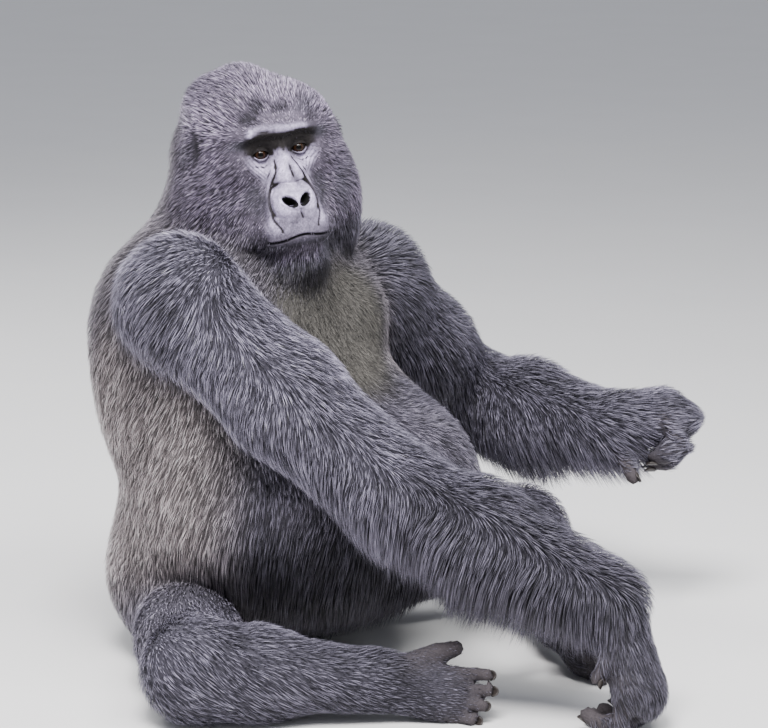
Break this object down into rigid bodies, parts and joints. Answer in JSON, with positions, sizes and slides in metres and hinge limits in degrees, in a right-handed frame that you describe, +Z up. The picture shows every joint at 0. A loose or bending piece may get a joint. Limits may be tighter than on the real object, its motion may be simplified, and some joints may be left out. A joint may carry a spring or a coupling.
{
  "type": "seated silverback gorilla model",
  "caption": "Life-size still model of a silverback mountain gorilla sitting on the ground, one hand down in front and the other held over the knee.",
  "frame": {"origin": "middle of the bounding box at the level of the ground it sits on", "axes": "+Z up, the body faces -Y, the animal's left side is +X"},
  "size_m": [1.1676, 1.0638, 1.0217],
  "materials": {
    "black_coat": "long coarse hair",
    "silver_coat": "short grey hair",
    "chest_coat": "thin short hair over skin",
    "bare_skin": "creased, slightly glossy",
    "eye": "wet"
  },
  "bodies": {
    "root": {"head": "black_coat", "neck": "black_coat", "chest": "chest_coat", "belly": "black_coat", "rump": "silver_coat", "ear_left": "bare_skin", "eye_left": "eye", "upper_arm_left": "black_coat", "forearm_left": "black_coat", "hand_left": "black_coat", "thumb_left": "bare_skin", "index_left": "bare_skin", "middle_left": "bare_skin", "ring_left": "bare_skin", "little_left": "bare_skin", "thigh_left": "black_coat", "shin_left": "black_coat", "foot_left": "bare_skin", "big_toe_left": "bare_skin", "toe_2_left": "bare_skin", "toe_3_left": "bare_skin", "toe_4_left": "bare_skin", "toe_5_left": "bare_skin", "ear_right": "bare_skin", "eye_right": "eye", "upper_arm_right": "black_coat", "forearm_right": "black_coat", "hand_right": "black_coat", "thumb_right": "bare_skin", "index_right": "bare_skin", "middle_right": "bare_skin", "ring_right": "bare_skin", "little_right": "bare_skin", "thigh_right": "black_coat", "shin_right": "black_coat", "foot_right": "bare_skin", "big_toe_right": "bare_skin", "toe_2_right": "bare_skin", "toe_3_right": "bare_skin", "toe_4_right": "bare_skin", "toe_5_right": "bare_skin"}
  },
  "joints": []
}
